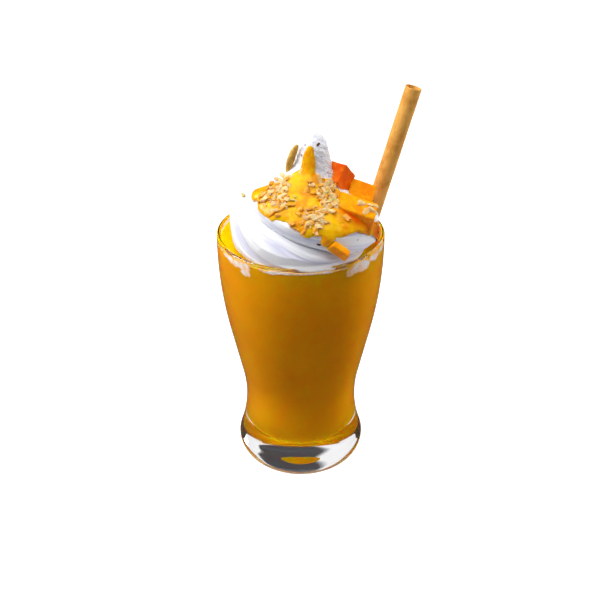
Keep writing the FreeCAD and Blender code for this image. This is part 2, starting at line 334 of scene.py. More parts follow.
def tumbler_side(t):
    """Centres of the arcs that make the tumbler's side."""
    shoulder = (t.foot_radius - t.shoulder, t.foot_fillet)
    waist_x = t.waist_radius + t.waist_arc
    rise = math.sqrt((t.shoulder + t.waist_arc) ** 2 - (waist_x - shoulder[0]) ** 2)
    waist = (waist_x, shoulder[1] + rise)
    arcs = t.belly_arc + t.waist_arc
    flank = (t.belly_radius - t.waist_radius - arcs * (1 - math.cos(t.flank))) / math.sin(t.flank)
    belly_z = waist[1] + arcs * math.sin(t.flank) + flank * math.cos(t.flank)
    return {
        "shoulder": shoulder,
        "shoulder_end": math.degrees(math.atan2(rise, waist_x - shoulder[0])),
        "waist": waist,
        "belly": (t.belly_radius - t.belly_arc, belly_z),
        "slope": math.degrees(t.flank),
    }


def outside_profile(t, side):
    """The tumbler's outside, from the middle of its foot to the rim."""
    dome = (t.foot_ring ** 2 + t.push_up ** 2) / (2 * t.push_up)
    rim = t.height - t.wall / 2
    end = math.degrees(math.asin((rim - side["belly"][1]) / t.belly_arc))
    return (
        arc_points((0, t.push_up - dome), dome, 90, math.degrees(math.acos(t.foot_ring / dome)))
        + arc_points((t.foot_radius - t.foot_fillet, t.foot_fillet), t.foot_fillet, -90, 0)
        + arc_points(side["shoulder"], t.shoulder, 0, side["shoulder_end"])[1:]
        + arc_points(side["waist"], t.waist_arc, 180 + side["shoulder_end"], 180 - side["slope"])[1:]
        + arc_points(side["belly"], t.belly_arc, -side["slope"], end)
    )


def inside_profile(t, side, top, into_wall=0.0):
    """The tumbler's inside from the middle of its floor up to the height top, or a line in its wall."""
    radius = t.waist_radius - t.wall
    corner = (radius - t.floor_corner, t.floor_height + t.floor_corner)
    belly = t.belly_arc - t.wall + into_wall
    end = math.degrees(math.asin((top - side["belly"][1]) / belly))
    floor = t.floor_height - into_wall
    return (
        [(corner[0] * k / 6, floor) for k in range(6)]
        + arc_points(corner, t.floor_corner + into_wall, -90, 0)
        + arc_points(side["waist"], t.waist_arc + t.wall - into_wall, 180, 180 - side["slope"])
        + arc_points(side["belly"], belly, -side["slope"], end)
    )


def radius_inside(t, side, height):
    """Radius of the tumbler's inside at heights of its belly."""
    rim = t.height - t.wall / 2
    reach = np.clip(height, side["belly"][1] - 0.03, rim) - side["belly"][1]
    return side["belly"][0] + np.sqrt((t.belly_arc - t.wall) ** 2 - reach ** 2)


# ---- cream's shape

# The swirl without its seam: (radius, height above the drink), and how it is laid, in millimetres
SWIRL_SIDE = (
    (22, -6), (31, -3.5), (36, 2), (36.8, 8), (35.3, 15.5), (30.5, 22.6),
    (22, 27.6), (13.6, 32.6), (9, 39), (7.5, 45), (5.3, 51), (0.6, 55.2),
)
SWIRL_CENTRE = (1.8, -1.2)
FULLER_TOWARDS, FULLER = -80.0, 0.08
DENT_TOWARDS, DENT, DENT_SPREAD, DENT_HEIGHTS = -172.0, 0.6, 14.0, (4.0, 16.0)
LOWER_TOWARDS, LOWER, LOWER_HEIGHTS = -5.0, 4.2, (0.0, 14.0, 26.0, 46.0)
PEAK_SHIFT, PEAK_SHIFT_HEIGHTS = 4.0, (14.0, 40.0)
SEAM_AZIMUTH, SEAM_HEIGHT, SEAM_RATE, SEAM_POWER = -69.0, 9.0, 2.46, 1.4
SEAM_DEPTH, SEAM_BELOW, SEAM_ABOVE = 0.2, 5.5, 3.0
EASY_TURN = 3.0              # the flow lines ease over this height where the seam starts
NOZZLE_RIDGES = 7            # ridges in one turn of the coil
STREAKS = ((23, 0.9), (41, 0.8), (67, 0.9), (97, 0.7))  # lines in one turn, and their share of the height
FINEST_STREAK = 1.1          # mm between the finest streaks that the surface can hold


def seam_share(azimuth, height):
    """1 in the coil's seam and less above and below it, for arrays of degrees and millimetres."""
    deepest = np.zeros(np.broadcast(azimuth, height).shape)
    for turn in (-1, 0, 1):
        t = SEAM_AZIMUTH - azimuth + 360 * turn
        gap = height - (SEAM_HEIGHT + np.sign(t) * (np.abs(t) / SEAM_RATE) ** (1 / SEAM_POWER))
        deepest = np.maximum(deepest, np.exp(np.where(gap > 0, -gap / SEAM_ABOVE, gap / SEAM_BELOW)))
    return deepest


def swirl_grid(cream, level, seam=1.0):
    """Points of the swirl's skin, with each row's height and each column's azimuth."""
    side, along = even_curve(SWIRL_SIDE, cream.rows)
    outward = np.stack([along[:, 1], -along[:, 0]], axis=1)
    height = side[:, 1:2]
    azimuth = (360.0 * np.arange(cream.columns) / cream.columns)[None, :]
    turn = np.radians(azimuth)
    tip = SWIRL_SIDE[-1][1]
    fuller = FULLER * (1 - smooth_step(height, 0, tip))
    starts, full, fades, ends = LOWER_HEIGHTS
    lower = LOWER * smooth_step(height, starts, full) * (1 - smooth_step(height, fades, ends))
    dent = DENT * (1 - smooth_step(height, *DENT_HEIGHTS))
    away = (azimuth - DENT_TOWARDS + 180) % 360 - 180
    depth = seam * SEAM_DEPTH * side[:, 0:1] * seam_share(azimuth, height)
    depth = depth + dent * np.exp(-(away / DENT_SPREAD) ** 2 / 2)
    radius = side[:, 0:1] - outward[:, 0:1] * depth
    radius = radius * (1 + fuller * np.cos(turn - math.radians(FULLER_TOWARDS)))
    up = height - outward[:, 1:2] * depth - lower * np.cos(turn - math.radians(LOWER_TOWARDS))
    shift = PEAK_SHIFT * smooth_step(height, *PEAK_SHIFT_HEIGHTS)
    grid = np.stack([
        SWIRL_CENTRE[0] + shift + radius * np.cos(turn),
        SWIRL_CENTRE[1] + radius * np.sin(turn),
        level / MM + up,
    ], axis=2)
    return grid * MM, height, azimuth


def flow_relief(cream, grid, height, azimuth):
    """How far ridges, streaks, lumps and the torn peak stand out at each point of the swirl, and how much
    painted shade lies in its troughs and seam.
    """
    rise = height - SEAM_HEIGHT
    eased = np.sqrt(rise ** 2 + EASY_TURN ** 2)
    turns = (SEAM_RATE * rise * eased ** (SEAM_POWER - 1) + azimuth - SEAM_AZIMUTH) / 360
    per_mm = SEAM_RATE * SEAM_POWER * eased ** (SEAM_POWER - 1) / 360
    wander = grid_noise(grid, 0.021, 3.1)
    drift = grid_noise(grid, 0.009, 8.7)
    peak = smooth_step(height, 30.0, 38.0)
    tip = SWIRL_SIDE[-1][1]
    calm = 1 - smooth_step(height, tip - 5, tip)
    ridges = np.cos(2 * math.pi * NOZZLE_RIDGES * turns + 1.6 * wander)
    low_coil = 1 - smooth_step(height, 16.0, 26.0)
    relief = cream.ridge * ridges * (0.75 + 0.5 * wander) * (0.3 + 0.7 * low_coil)
    for lines, part in STREAKS:
        fine = 1 / (1 + (lines * per_mm * FINEST_STREAK) ** 4)
        wave = np.cos(2 * math.pi * lines * turns + lines * 0.9 + 2.2 * drift)
        relief = relief + cream.streak * part * fine * wave * (0.6 + 0.8 * drift)
    relief = relief + cream.lump * (0.7 * wander + 0.5 * drift)
    torn = peak * smooth_step(np.cos(np.radians(azimuth + 10)), -0.05, 0.6)
    shreds = 0.8 * grid_noise(grid * (1, 1, 0.4), 0.0021, 5.0) + 0.7 * grid_noise(grid, 0.0010, 2.0)
    relief = relief + cream.rough * torn * (shreds + 0.5 * grid_noise(grid, 0.0045, 7.7))
    # Painted shade: the troughs of the relief and the coil's seam are darkened towards a cooler tone, less on
    # the peak.
    painted_fold_shade = smooth_step(-relief, -0.00008, 0.00055) * 0.75 + 0.25 * seam_share(azimuth, height) ** 2
    return relief * (0.35 + 0.65 * calm), np.clip(painted_fold_shade * (1 - 0.5 * peak), 0, 1)


def inside_glass(t, side, grid, into_wall, clear):
    """The grid drawn in to the tumbler's wall, and to a clear distance from its line above the rim."""
    radius = np.hypot(grid[..., 0], grid[..., 1])
    above = smooth_step(grid[..., 2], t.height - 0.002, t.height + 0.001)
    reach = radius_inside(t, side, grid[..., 2]) + into_wall * (1 - above) - clear * above
    part = np.minimum(1.0, reach / np.maximum(radius, 1e-9))
    return np.concatenate([grid[..., :2] * part[..., None], grid[..., 2:]], axis=2)


# ---- materials

def tree_of(name):
    """A new material of that name, its node tree and its Principled BSDF."""
    if name in bpy.data.materials:
        bpy.data.materials.remove(bpy.data.materials[name])
    material = bpy.data.materials.new(name)
    material.use_nodes = True
    tree = material.node_tree
    return material, tree, tree.nodes["Principled BSDF"]


def feed(tree, socket, given):
    """Set a socket to a value, or link it to another node's output."""
    if isinstance(given, bpy.types.NodeSocket):
        tree.links.new(given, socket)
    else:
        socket.default_value = given


def fill(tree, node, **values):
    """Feed a node's inputs by name, with _ for a space."""
    for key, given in values.items():
        feed(tree, node.inputs[key.replace("_", " ")], given)
    return node


def add(tree, kind, inputs=None, **values):
    """A node with its settings, and with what feeds its inputs, by name or number."""
    node = tree.nodes.new(kind)
    for key, value in values.items():
        setattr(node, key, value)
    for key, given in (inputs or {}).items():
        feed(tree, node.inputs[key], given)
    return node


def mixed(tree, factor, first, second):
    """Colour between two colours by a factor. Each may be a value or another node's output."""
    return add(tree, "ShaderNodeMix", {0: factor, 6: first, 7: second}, data_type="RGBA",
               clamp_factor=True).outputs[2]


def object_place(tree):
    """Where a point lies on its piece."""
    return add(tree, "ShaderNodeTexCoord").outputs["Object"]


def stretched(tree, by):
    """Where a point lies on its piece, multiplied along each axis."""
    return add(tree, "ShaderNodeVectorMath", {0: object_place(tree), 1: by}, operation="MULTIPLY").outputs[0]


def noise_node(tree, vector, scale, detail, roughness=0.5):
    """Noise of 0 to 1 over a surface."""
    return add(tree, "ShaderNodeTexNoise", {"Vector": vector, "Scale": scale, "Detail": detail,
                                            "Roughness": roughness}).outputs["Fac"]


def math_node(tree, operation, first, second=0.5):
    """Result of a Math node."""
    return add(tree, "ShaderNodeMath", {0: first, 1: second}, operation=operation).outputs[0]


def stepped(tree, value, low, high, to_low=0.0, to_high=1.0):
    """A value mapped smoothly from one range to another."""
    node = add(tree, "ShaderNodeMapRange", interpolation_type="SMOOTHSTEP")
    fill(tree, node, Value=value, From_Min=low, From_Max=high, To_Min=to_low, To_Max=to_high)
    return node.outputs["Result"]


def new_group(name, inputs, outputs):
    """An empty node group with named sockets, and its input and output nodes."""
    if name in bpy.data.node_groups:
        bpy.data.node_groups.remove(bpy.data.node_groups[name])
    group = bpy.data.node_groups.new(name, "ShaderNodeTree")
    for socket, kind, default in inputs:
        made = group.interface.new_socket(name=socket, in_out="INPUT", socket_type=kind)
        made.default_value = default
    for socket, kind in outputs:
        group.interface.new_socket(name=socket, in_out="OUTPUT", socket_type=kind)
    return group, group.nodes.new("NodeGroupInput"), group.nodes.new("NodeGroupOutput")


def mottle_group():
    """Cloudy mixture of three colours, as in food that is not quite even."""
    group, given, out = new_group("Mottle", (
        ("Main", "NodeSocketColor", (1, 1, 1, 1)),
        ("Second", "NodeSocketColor", (1, 1, 1, 1)),
        ("Third", "NodeSocketColor", (1, 1, 1, 1)),
        ("Size", "NodeSocketFloat", 0.01),
        ("Second share", "NodeSocketFloat", 0.5),
        ("Third share", "NodeSocketFloat", 0.3),
    ), (("Colour", "NodeSocketColor"),))
    place = object_place(group)
    scale = math_node(group, "DIVIDE", 1.0, given.outputs["Size"])
    finer = math_node(group, "MULTIPLY", scale, 3.7)
    first = stepped(group, noise_node(group, place, scale, 3.0, 0.55), 0.38, 0.66)
    second = stepped(group, noise_node(group, place, finer, 4.0, 0.6), 0.48, 0.70)
    tone = mixed(group, math_node(group, "MULTIPLY", first, given.outputs["Second share"]),
                 given.outputs["Main"], given.outputs["Second"])
    tone = mixed(group, math_node(group, "MULTIPLY", second, given.outputs["Third share"]),
                 tone, given.outputs["Third"])
    group.links.new(tone, out.inputs["Colour"])
    return group


def grain_group():
    """Fine uneven height of a soft or fibrous surface."""
    group, given, out = new_group("Grain", (
        ("Size", "NodeSocketFloat", 0.001),
        ("Stretch", "NodeSocketVector", (1, 1, 1)),
    ), (("Height", "NodeSocketFloat"),))
    drawn = stretched(group, given.outputs["Stretch"])
    scale = math_node(group, "DIVIDE", 1.0, given.outputs["Size"])
    group.links.new(noise_node(group, drawn, scale, 4.0, 0.6), out.inputs["Height"])
    return group


def place_group(tree, name, **values):
    """The shared group of that name, made once, with its inputs fed."""
    makers = {"Mottle": mottle_group, "Grain": grain_group}
    group = bpy.data.node_groups.get(name) or makers[name]()
    return fill(tree, add(tree, "ShaderNodeGroup", node_tree=group), **values)


def bumped(tree, shader, height, strength, distance):
    """Bump from a height on the shader's normal."""
    bump = add(tree, "ShaderNodeBump", {"Strength": strength, "Distance": distance, "Height": height})
    tree.links.new(bump.outputs["Normal"], shader.inputs["Normal"])


def glass_material(t):
    """Clear glass. Light passes it on its way to what it holds."""
    material, tree, shader = tree_of("clear_glass")
    fill(tree, shader, Base_Color=t.tint, Roughness=0.0, IOR=1.5, Transmission_Weight=1.0)
    bumped(tree, shader, place_group(tree, "Grain", Size=0.02).outputs["Height"], 0.01, 0.0004)
    clear = add(tree, "ShaderNodeBsdfTransparent")
    path = add(tree, "ShaderNodeLightPath")
    both = add(tree, "ShaderNodeMixShader", {0: path.outputs["Is Shadow Ray"], 1: shader.outputs[0],
                                             2: clear.outputs[0]})
    tree.links.new(both.outputs[0], tree.nodes["Material Output"].inputs["Surface"])
    return material


def soft_material(name, tones, size, shares, grain, bump, body, specular, stretch=(1, 1, 1), over=None):
    """A soft food of three mixed tones with a fine grain.

    Bump is its strength and depth. Body is the weight, radius and scale of the light that spreads in it, its
    roughness, its coat and the coat's roughness. Over is the points' value that lays another tone over the
    rest, and that tone.
    """
    material, tree, shader = tree_of(name)
    mottle = place_group(tree, "Mottle", Main=tones[0], Second=tones[1], Third=tones[2], Size=size,
                         Second_share=shares[0], Third_share=shares[1])
    tone = mottle.outputs["Colour"]
    if over:
        where = add(tree, "ShaderNodeAttribute", attribute_name=over[0], attribute_type="GEOMETRY")
        tone = mixed(tree, where.outputs["Fac"], tone, over[1])
    tree.links.new(tone, shader.inputs["Base Color"])
    bumped(tree, shader, place_group(tree, "Grain", Size=grain, Stretch=stretch).outputs["Height"], *bump)
    soft, radius, scale, rough, coat, coat_rough = body
    fill(tree, shader, Subsurface_Weight=soft, Subsurface_Radius=radius, Subsurface_Scale=scale,
         Roughness=rough, Coat_Weight=coat, Coat_Roughness=coat_rough, Specular_IOR_Level=specular)
    return material


def food_material(name, tones, size, grain, shares=(0.7, 0.6), soft=0.15, rough=0.5, coat=0.0,
                  stretch=(1, 1, 1)):
    """A cut or chopped food."""
    return soft_material(name, tones, size, shares, grain, (0.5, grain * 0.3),
                         (soft, (1.0, 0.4, 0.05), 0.003, rough, coat, 0.15), 0.25, stretch)


def drink_material(d):
    """Thick mango drink: denser clouds in it, and paler froth near its surface."""
    material = soft_material("mango_drink", (d.body, d.deep, d.froth), 0.03, (0.35, 0.10), 0.0016,
                             (0.25, 0.0003), (1.0, (1.0, 0.10, 0.01), 0.018, 0.45, 0.0, 0.1), 0.0)
    tree = material.node_tree
    base = tree.nodes["Principled BSDF"].inputs["Base Color"]
    place = object_place(tree)
    height = add(tree, "ShaderNodeSeparateXYZ", {0: place}).outputs["Z"]
    wobble = math_node(tree, "MULTIPLY", noise_node(tree, place, 130.0, 3.0), 0.006)
    raised = math_node(tree, "ADD", height, wobble)
    froth = stepped(tree, raised, d.level - 0.004, d.level + 0.006, 0.0, 0.75)
    tree.links.new(mixed(tree, froth, base.links[0].from_socket, d.froth), base)
    return material


def cream_material(c):
    """Whipped cream with a fine grain, and painted shade: a cooler tone in its folds, seam and streak
    troughs.
    """
    return soft_material("cream", (c.white, c.shade, c.white), 0.012, (0.5, 0.3), 0.0011, (0.35, 0.00025),
                         (0.25, (1.0, 0.9, 0.85), 0.002, 0.55, 0.0, 0.1), 0.5, over=("painted_fold_shade", c.fold_shade_tone))


def smear_material(c, d):
    """Cream that the drink shines through where it is thin."""
    return soft_material("cream_smear", (c.shade, d.froth, c.white), 0.0045, (0.6, 0.4), 0.0014,
                         (0.3, 0.0002), (0.3, (1.0, 0.8, 0.6), 0.002, 0.5, 0.0, 0.1), 0.5,
                         over=("thin", d.froth))


def sauce_material(s, p):
    """Glossy mango sauce, redder where the mango lies in it."""
    return soft_material("mango_sauce", (s.body, s.deep, s.body), 0.0055, (0.7, 0.4), 0.0024, (0.3, 0.0004),
                         (0.3, (1.0, 0.4, 0.04), 0.003, 0.30, 0.25, 0.08), 0.3, over=("juice", p.mango_deep))


def paper_material(s):
    """Kraft paper with fibres."""
    material, tree, shader = tree_of("straw_paper")
    tone = place_group(tree, "Mottle", Main=s.paper, Second=s.paper_dark, Third=s.paper, Size=0.006,
                       Second_share=0.55, Third_share=0.5)
    fibres = noise_node(tree, stretched(tree, (1.0, 1.0, 0.12)), 900.0, 3.0)
    lines = stepped(tree, fibres, 0.5, 0.75, 0.0, 0.45)
    fill(tree, shader, Base_Color=mixed(tree, lines, tone.outputs["Colour"], s.paper_dark), Roughness=0.8,
         Specular_IOR_Level=0.2)
    bumped(tree, shader, fibres, 0.25, 0.0002)
    return material


# ---- tumbler and drink

LIP_STEP = 0.0003
# The film on the wall: a share of its height, and how far inside the wall it lies
FILM = ((0.3, 0.0), (0.7, 0.0), (1.0, 0.0), (1.02, 0.00035), (0.86, 0.0006), (0.6, 0.0008),
        (0.32, 0.0011), (0.12, 0.0018), (0.02, 0.003), (0.0, 0.005))
SURFACE_RINGS = 34


class MILKSHAKE_OT_tumbler(bpy.types.Operator):
    """Blow the footed tumbler"""
    bl_idname = "milkshake.tumbler"
    bl_label = "Tumbler"

    def execute(self, context):
        t = context.scene.milkshake.tumbler
        side = tumbler_side(t)
        rim = t.height - t.wall / 2
        outside = outside_profile(t, side)
        inside = inside_profile(t, side, rim)
        lip_centre = ((outside[-1][0] + inside[-1][0]) / 2, rim)
        lip = arc_points(lip_centre, t.wall / 2, 0, 180, LIP_STEP)[1:-1]
        points, rings = lathe(outside + lip + inside[::-1], t.segments)
        add_piece("tumbler", points, ring_faces(rings), glass_material(t), ("glass",))
        return {"FINISHED"}


class MILKSHAKE_OT_drink(bpy.types.Operator):
    """Pour the mango drink, with its surface and the film that clings to the wall"""
    bl_idname = "milkshake.drink"
    bl_label = "Drink"

    def execute(self, context):
        t, d = context.scene.milkshake.tumbler, context.scene.milkshake.drink
        side = tumbler_side(t)
        points, rings = lathe(inside_profile(t, side, d.level - 0.001, d.into_wall), t.segments)
        for part, inward in FILM:
            def on_wall(turn):
                way = polar(1, turn)
                cling = d.film * (0.25 + 0.3 * noise.noise(way * 3.3 + Vector((4, 1, 0))))
                cling += d.film * max(0.0, -way.y) ** 3
                height = d.level + part * min(cling, t.height - t.wall - d.level)
                reach = radius_inside(t, side, height) + d.into_wall - inward
                return way.x * reach, way.y * reach, height
            rings.append(add_ring(points, t.segments, on_wall))
        inner = radius_inside(t, side, d.level) + d.into_wall - FILM[-1][1]
        for step in range(1, SURFACE_RINGS):
            def on_surface(turn):
                spot = polar(inner * (1 - step / SURFACE_RINGS), turn)
                swell = 0.00030 * noise.noise(spot * 110) + 0.00016 * noise.noise(spot * 420)
                return spot.x, spot.y, d.level + swell * min(1.0, step / 3)
            rings.append(add_ring(points, t.segments, on_surface))
        rings.append(add_ring(points, 1, lambda turn: polar(0, turn, d.level)))
        add_piece("mango_drink", points, ring_faces(rings), drink_material(d), ("milkshake",))
        return {"FINISHED"}


# ---- cream, sauce and toppings

# How far the cream and the sauce keep from the line of the wall above the rim, and how far the tip is pulled
CREAM_CLEAR, SAUCE_CLEAR, SWIRL_TIP = 0.0008, 0.0002, 0.0004


class MILKSHAKE_OT_cream(bpy.types.Operator):
    """Pipe the swirl of whipped cream"""
    bl_idname = "milkshake.cream"
    bl_label = "Whipped cream"

    def execute(self, context):
        settings = context.scene.milkshake
        t, d, c = settings.tumbler, settings.drink, settings.cream
        grid, height, azimuth = swirl_grid(c, d.level)
        relief, painted_fold_shade = flow_relief(c, grid, height, azimuth)
        grid = grid + grid_normals(grid) * relief[..., None]
        grid = inside_glass(t, tumbler_side(t), grid, d.into_wall * 0.7, CREAM_CLEAR)
        points, rings = grid.reshape(-1, 3).tolist(), grid_rings(grid)
        for ring, rise in ((rings[0], 0.0), (rings[-1], SWIRL_TIP)):
            points.append((np.mean([points[k] for k in ring], axis=0) + (0, 0, rise)).tolist())
        faces = ring_faces([[len(points) - 2]] + rings + [[len(points) - 1]])
        piece = add_piece("cream_swirl", points, faces, cream_material(c), ("whipped_cream",))
        # The painted shade in the troughs and the seam, which the cream's material mixes in.
        mark(piece, "painted_fold_shade", np.append(painted_fold_shade.ravel(), [0.0, 0.0]))
        return {"FINISHED"}


# Cream smeared on the inside of the wall, in degrees and millimetres:
# (azimuth, height above the drink, half its width, half its height)
SMEARS = ((-136, -1, 12, 2.4), (-148, -0.4, 10, 1.5), (-130, -3.6, 4.5, 2),
          (-46, -1.8, 14, 3.6), (-30, -0.6, 11, 2.4), (-18, -0.2, 9, 1.5),
          (-90, 0.3, 40, 0.8), (-113, -0.3, 7, 1.1))
# Where they are looked for: start, end and step, in degrees and in millimetres above the drink
SMEAR_AZIMUTHS, SMEAR_HEIGHTS = (-170.0, 10.0, 0.4), (-9.0, 1.6, 0.15)


class MILKSHAKE_OT_smears(bpy.types.Operator):
    """Smear cream on the inside of the wall, where the swirl touched it"""
    bl_idname = "milkshake.smears"
    bl_label = "Cream smears"

    def execute(self, context):
        settings = context.scene.milkshake
        t, d, c = settings.tumbler, settings.drink, settings.cream
        side = tumbler_side(t)
        azimuth = np.arange(*SMEAR_AZIMUTHS)[None, :]
        above = np.arange(*SMEAR_HEIGHTS)[:, None]
        field = np.full((above.size, azimuth.size), -2.0)
        for towards, height, wide, tall in SMEARS:
            away = np.hypot((azimuth - towards) / wide, (above - height) / tall)
            field = np.maximum(field, 1 - away)
        z = d.level + above * MM + 0 * azimuth
        turn = np.radians(azimuth) + 0 * above

        def on_wall(reach):
            return np.stack([np.cos(turn) * reach, np.sin(turn) * reach, z], axis=2)

        reach = radius_inside(t, side, z)
        wall = on_wall(reach)
        field = field + 0.35 * grid_noise(wall, 0.0042, 2.4) + 0.25 * grid_noise(wall, 0.0016, 5.1)
        depth = d.into_wall + c.smear * (smooth_step(field, -0.1, 0.25) - 0.35)
        points, faces, used = kept_part(on_wall(reach + depth), field > -0.1, closed=False)
        piece = add_piece("cream_smears", points, faces, smear_material(c, d))
        mark(piece, "thin", 1 - smooth_step(field.ravel()[used], 0.0, 0.55))
        return {"FINISHED"}


# The sauce hides part of the seam under it, and its skin ends at this value of nearness
SEAM_UNDER_SAUCE, SAUCE_EDGE = 0.8, -0.14
# Where the sauce runs: (x, y, height above the drink, reach), in millimetres
SAUCE_RUNS = (
    ((4.4, -7.3, 48.4, 1.7), (3.8, -8.4, 44.5, 2.9), (3.2, -9.6, 39.5, 3.3), (2.6, -12, 35.5, 5),
     (0.5, -15, 33, 8), (0, -20, 30, 10), (1, -26, 26.8, 9), (5, -31, 23, 6)),
    ((0, -16, 32, 7), (-8, -15, 31, 6.5), (-15, -13.8, 29, 5), (-20, -11.5, 27, 3.6)),
    ((-15, -14, 29, 4.5), (-15.5, -20, 27, 5.2), (-11, -24.5, 26, 5.8), (-5, -27, 25.8, 6),
     (-1, -31, 23, 4.4), (3, -34, 19.5, 3.4)),
    ((3, -13, 34, 5.5), (9, -14.5, 32, 5), (12.5, -18.5, 28.5, 5.5), (14, -24, 24.5, 6),
     (10, -29, 23.5, 6), (8, -33.5, 20, 3.6)),
    ((12, -29, 23, 5), (13, -33, 19, 4.6), (11.5, -35.6, 15, 2.7)),
    ((13, -31, 21, 4), (17.5, -31.8, 18.3, 3.4), (22, -28.8, 17.8, 2.6), (25, -26.2, 16.8, 1.8)),
    ((12.7, -12.3, 31.1, 4.5), (16.5, -12.5, 28.5, 3.4)),
    ((14, -16, 28.5, 4), (16, -19.5, 26, 3.8), (18.5, -25, 21.5, 4.4), (22, -27, 19, 3.2)),
    ((20, -26, 20.5, 3), (27, -24.5, 16.5, 2.6), (32, -20, 13.5, 2.8)),
    ((19, -25, 21, 4.2), (25.5, -23.5, 17.5, 3.6), (31, -19, 14, 3.4)),
    ((30, -20, 14, 3.4), (35, -14.6, 10.5, 3.6), (36.6, -10, 6, 3.6), (36.6, -6, 1, 3.6)),
)


def above_drink(place, level):
    """A place in metres, from one of (x, y, height above the drink) in millimetres."""
    return np.array((place[0], place[1], place[2] + level / MM)) * MM


def nearness(points, runs, level):
    """For each point, 1 on the middle line of the nearest run, 0 at its edge and negative outside it."""
    best = np.full(len(points), -9.0)
    for run in runs:
        for first, second in zip(run, run[1:]):
            start = above_drink(first, level)
            line = above_drink(second, level) - start
            part = np.clip((points - start) @ line / (line @ line), 0, 1)
            away = np.linalg.norm(points - start - part[:, None] * line, axis=1)
            best = np.maximum(best, 1 - away / ((first[3] + (second[3] - first[3]) * part) * MM))
    return best


def sauce_surface(settings):
    """Grid of the sauce's surface on the cream, and where it lies there: above 0 inside its outline."""
    c, d, s = settings.cream, settings.drink, settings.sauce
    grid, height, _ = swirl_grid(c, d.level, SEAM_UNDER_SAUCE)
    normals = grid_normals(grid)
    field = nearness(grid.reshape(-1, 3), SAUCE_RUNS, d.level).reshape(grid.shape[:2])
    field = field + 0.16 * grid_noise(grid, 0.0042, 1.7) + 0.07 * grid_noise(grid, 0.0017, 6.2)
    swell = 1 - np.exp(-4.5 * np.clip(field, 0, None))
    swell = swell * (1 - 0.75 * smooth_step(height, 32.0, 40.0))
    lumps = 0.35 * grid_noise(grid, 0.0031, 4.4) + 0.25 * grid_noise(grid, 0.007, 9.4)
    rise = s.thickness * (0.25 + swell * (1.0 + lumps))
    rise = np.where(field > 0, rise, s.thickness * (0.25 + 9.0 * field))
    return grid + normals * rise[..., None], field, normals


class MILKSHAKE_OT_sauce(bpy.types.Operator):
    """Pour mango sauce over the cream"""
    bl_idname = "milkshake.sauce"
    bl_label = "Mango sauce"

    def execute(self, context):
        settings = context.scene.milkshake
        grid, field, _ = sauce_surface(settings)
        t, d = settings.tumbler, settings.drink
        grid = inside_glass(t, tumbler_side(t), grid, 0.0, SAUCE_CLEAR)
        points, faces, used = kept_part(grid, field > SAUCE_EDGE)
        piece = add_piece("mango_sauce", points, faces,
                          sauce_material(settings.sauce, settings.topping))
        mark(piece, "juice", np.clip(heap_weight(grid, JUICE_PLACES, d.level).ravel()[used], 0, 1))
        return {"FINISHED"}


def shard(rng, size, sides=6):
    """Points and faces of one small broken piece: a bevelled prism with uneven corners."""
    points, rings = [], []
    shrinks = (rng.uniform(0.3, 0.9), 0.95, 1.0, rng.uniform(0.3, 0.9))
    for share_along, shrink in zip((-0.5, -0.3, 0.25, 0.5), shrinks):
        rings.append(list(range(len(points), len(points) + sides)))
        for k in range(sides):
            turn = 2 * math.pi * (k + 0.5 * rng.random()) / sides
            reach = 0.5 * shrink * rng.uniform(0.7, 1.2)
            points.append(Vector((
                size[0] * (share_along + 0.14 * (rng.random() - 0.5)),
                size[1] * reach * math.cos(turn),
                size[2] * reach * math.sin(turn),
            )))
    faces = ring_faces(rings)
    faces += [tuple(rings[0]), tuple(reversed(rings[-1]))]
    return points, faces


def scatter(spots, rng, sizes, sink, tilt):
    """Shards laid on spots of (place, normal): their points and faces as one mesh."""
    points, faces = [], []
    for place, normal in spots:
        size = [rng.uniform(low, high) * MM for low, high in sizes]
        own, own_faces = shard(rng, size)
        lay = normal.to_track_quat("Z", "X").to_matrix().to_4x4()
        turn = Euler((rng.uniform(-0.5, 0.5), rng.uniform(-tilt, tilt), rng.uniform(0, 2 * math.pi)))
        matrix = Matrix.Translation(place + normal * size[2] * (0.5 - sink)) @ lay @ turn.to_matrix().to_4x4()
        base = len(points)
        points += [matrix @ p for p in own]
        faces += [tuple(k + base for k in f) for f in own_faces]
    return points, faces


def laid_on(grid, normals, place, level):
    """The point of a grid nearest to a place, given as above_drink wants it, and its normal."""
    flat, ways = grid.reshape(-1, 3), normals.reshape(-1, 3)
    k = int(np.argmin(np.linalg.norm(flat - above_drink(place, level), axis=1)))
    return Vector(flat[k]), Vector(ways[k])


def pick_spots(grid, normals, weight, number, rng, apart):
    """Places on a grid, chosen by weight and kept apart from each other."""
    flat, ways = grid.reshape(-1, 3), normals.reshape(-1, 3)
    weights = np.clip(weight.ravel(), 0, None)
    total = np.cumsum(weights)
    spots = []
    for _ in range(number * 12):
        if len(spots) == number:
            break
        k = int(np.searchsorted(total, rng.random() * total[-1]))
        place = Vector(flat[k])
        if all((place - other).length > apart for other, _ in spots):
            spots.append((place, Vector(ways[k])))
    return spots


# Where juice of the mango stains the sauce, in the same way as the nuts below
JUICE_PLACES = ((20, -21, 22.5, 5), (25, -22.5, 19, 5), (30, -20, 15, 5),
                (35.5, -13, 9, 6), (36.6, -8, 4, 5))
# Where the chopped nuts lie thickest: (x, y, height above the drink, reach), in millimetres
NUT_HEAPS = ((-12, -17.5, 28.5, 6.5), (-9, -23, 26.5, 5), (10.5, -18, 28.5, 5.5),
             (13.5, -22, 26, 4.5), (3.5, -30.5, 23.5, 5), (9, -30, 22.5, 5),
             (-8, -12.5, 32, 3.6), (12.5, -12, 31, 3.6))
